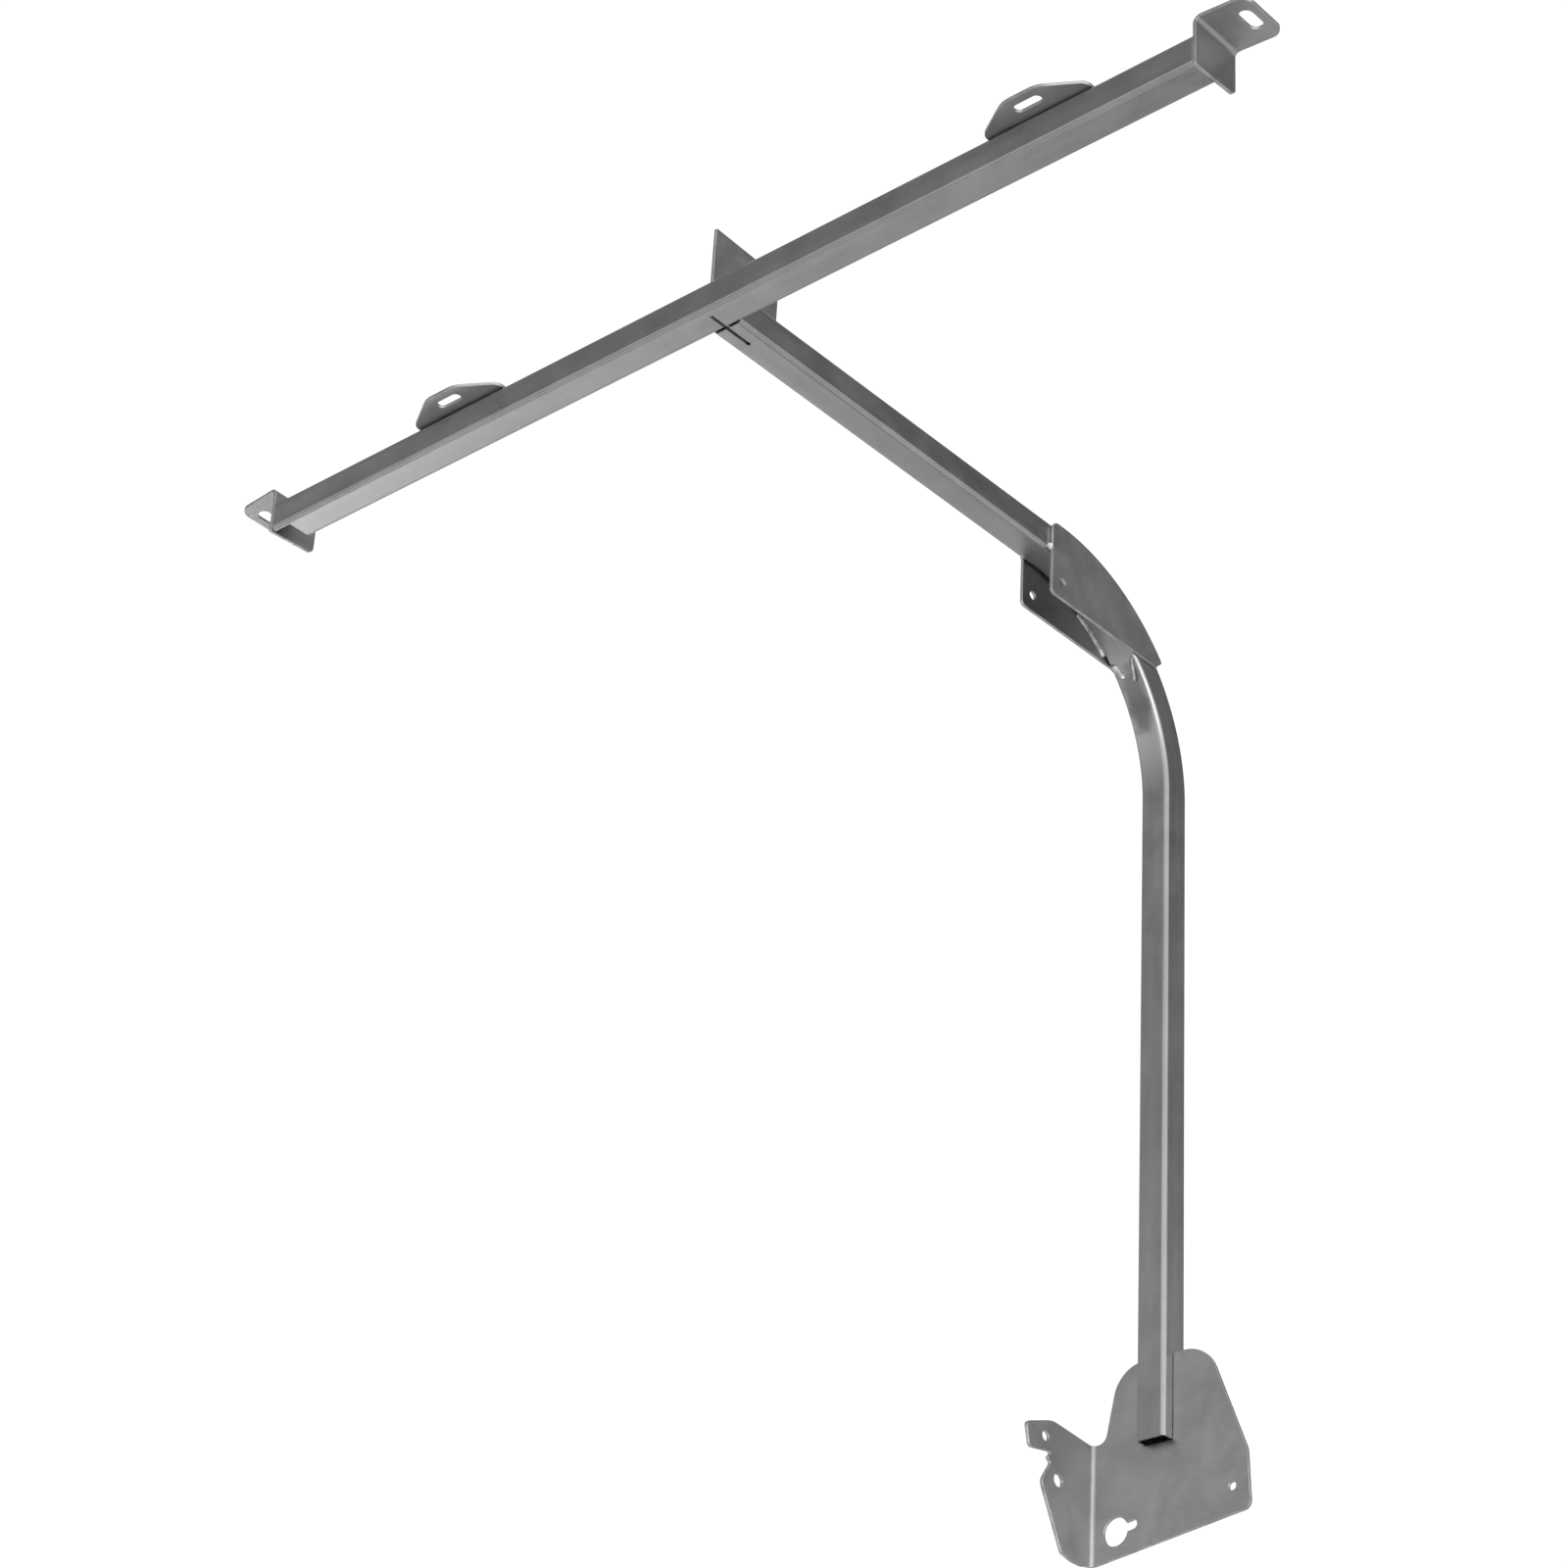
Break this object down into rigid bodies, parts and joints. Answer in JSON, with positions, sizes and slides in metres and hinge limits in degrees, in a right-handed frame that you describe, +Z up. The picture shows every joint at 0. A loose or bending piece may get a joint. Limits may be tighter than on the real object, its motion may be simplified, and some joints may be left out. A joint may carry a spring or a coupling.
{
  "type": "welded tube security bar",
  "caption": "Welded square-tube security bar: crossbar with slotted end tabs and ears, arm bent down into a post, folded floor bracket.",
  "frame": {"origin": "point on the rear face of the floor bracket, straight below the post's axis and 23 mm below the post's lower end", "axes": "+X along the crossbar towards its right end, +Y out of the floor bracket's rear face, along the arm from crossbar to post, +Z up the post"},
  "size_m": [1.1306, 0.6797, 0.9751],
  "materials": {
    "tube_steel": "zinc-grey square tube with fine lengthwise draw lines",
    "sheet_steel": "dull grey cut sheet, faint rolling grain, slightly brighter edges",
    "weld": "rippled weld bead, satin grey"
  },
  "bodies": {
    "root": {"arm_post_tube": "tube_steel", "centre_fin": "sheet_steel", "crossbar_tube": "tube_steel", "elbow_plate_left": "sheet_steel", "elbow_plate_right": "sheet_steel", "floor_bracket": "sheet_steel", "left_ear": "sheet_steel", "left_end_bracket": "sheet_steel", "right_ear": "sheet_steel", "right_end_bracket": "sheet_steel", "weld_arm_left": "weld", "weld_arm_right": "weld", "weld_elbow_front_left": "weld", "weld_elbow_front_right": "weld", "weld_elbow_heel_left": "weld", "weld_elbow_heel_right": "weld", "weld_elbow_seam_left": "weld", "weld_elbow_seam_right": "weld", "weld_fin_arm_left": "weld", "weld_fin_arm_right": "weld", "weld_fin_bar_left": "weld", "weld_fin_bar_right": "weld", "weld_left_ear": "weld", "weld_left_end_top": "weld", "weld_post_left": "weld", "weld_post_right": "weld", "weld_right_ear": "weld", "weld_right_end_rear": "weld", "weld_right_end_top": "weld"}
  },
  "joints": []
}
